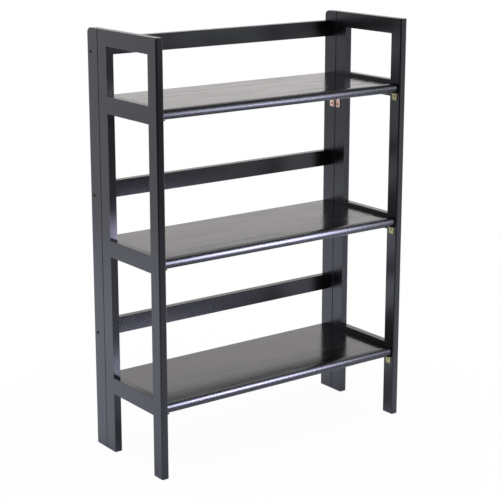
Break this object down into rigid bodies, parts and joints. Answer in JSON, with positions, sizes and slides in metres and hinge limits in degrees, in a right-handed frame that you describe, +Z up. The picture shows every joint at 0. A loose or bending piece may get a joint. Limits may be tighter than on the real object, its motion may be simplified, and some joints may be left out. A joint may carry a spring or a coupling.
{
  "type": "folding bookcase",
  "caption": "Free-standing folding bookcase with open side frames on butt hinges, rails across the back and bullnosed shelves that turn up on pins.",
  "frame": {"origin": "on the floor, under the middle of the bookcase's width and depth", "axes": "+X to the right as seen from the front, +Y to the back, +Z up"},
  "size_m": [0.7028, 0.279, 0.979],
  "materials": {
    "black_lacquer": "satin lacquer",
    "hinge_brass": "bright plated",
    "support_brass": "bright plated",
    "bronze_screws": "antiqued",
    "black_screws": "black oxide",
    "hinge_pins": "antiqued",
    "shelf_pins": "ground",
    "dowel_wood": "bare beech"
  },
  "bodies": {
    "frame": {"back_rail_bottom": "black_lacquer", "back_rail_middle": "black_lacquer", "back_rail_top": "black_lacquer", "back_stile_left": "black_lacquer", "back_stile_right": "black_lacquer", "hinge_lower_left_back_leaf": "hinge_brass", "hinge_lower_left_pin": "hinge_pins", "hinge_lower_left_side_leaf": "hinge_brass", "hinge_lower_right_back_leaf": "hinge_brass", "hinge_lower_right_pin": "hinge_pins", "hinge_lower_right_side_leaf": "hinge_brass", "hinge_screws": "bronze_screws", "hinge_upper_left_back_leaf": "hinge_brass", "hinge_upper_left_pin": "hinge_pins", "hinge_upper_left_side_leaf": "hinge_brass", "hinge_upper_right_back_leaf": "hinge_brass", "hinge_upper_right_pin": "hinge_pins", "hinge_upper_right_side_leaf": "hinge_brass", "rail_dowels": "dowel_wood", "rail_screws": "black_screws", "side_frame_dowels_left": "dowel_wood", "side_frame_dowels_right": "dowel_wood", "side_front_post_left": "black_lacquer", "side_front_post_right": "black_lacquer", "side_lower_rail_left": "black_lacquer", "side_lower_rail_right": "black_lacquer", "side_middle_rail_left": "black_lacquer", "side_middle_rail_right": "black_lacquer", "side_rear_post_left": "black_lacquer", "side_rear_post_right": "black_lacquer", "side_top_rail_left": "black_lacquer", "side_top_rail_right": "black_lacquer", "side_upper_rail_left": "black_lacquer", "side_upper_rail_right": "black_lacquer", "support_bottom_left": "support_brass", "support_bottom_right": "support_brass", "support_middle_left": "support_brass", "support_middle_right": "support_brass", "support_screws": "bronze_screws", "support_top_left": "support_brass", "support_top_right": "support_brass"},
    "bottom_shelf": {"shelf_bottom": "black_lacquer", "shelf_pins_bottom": "shelf_pins"},
    "middle_shelf": {"shelf_middle": "black_lacquer", "shelf_pins_middle": "shelf_pins"},
    "top_shelf": {"shelf_pins_top": "shelf_pins", "shelf_top": "black_lacquer"}
  },
  "joints": [
    {"name": "bottom_shelf_fold", "type": "hinge", "parent": "frame", "child": "bottom_shelf", "pos_m": [0, 0.10765, 0.15925], "axis": [-1, 0, 0], "range_deg": [0, 90]},
    {"name": "middle_shelf_fold", "type": "hinge", "parent": "frame", "child": "middle_shelf", "pos_m": [0, 0.10765, 0.48926], "axis": [-1, 0, 0], "range_deg": [0, 90]},
    {"name": "top_shelf_fold", "type": "hinge", "parent": "frame", "child": "top_shelf", "pos_m": [0, 0.10765, 0.81477], "axis": [-1, 0, 0], "range_deg": [0, 90]}
  ]
}
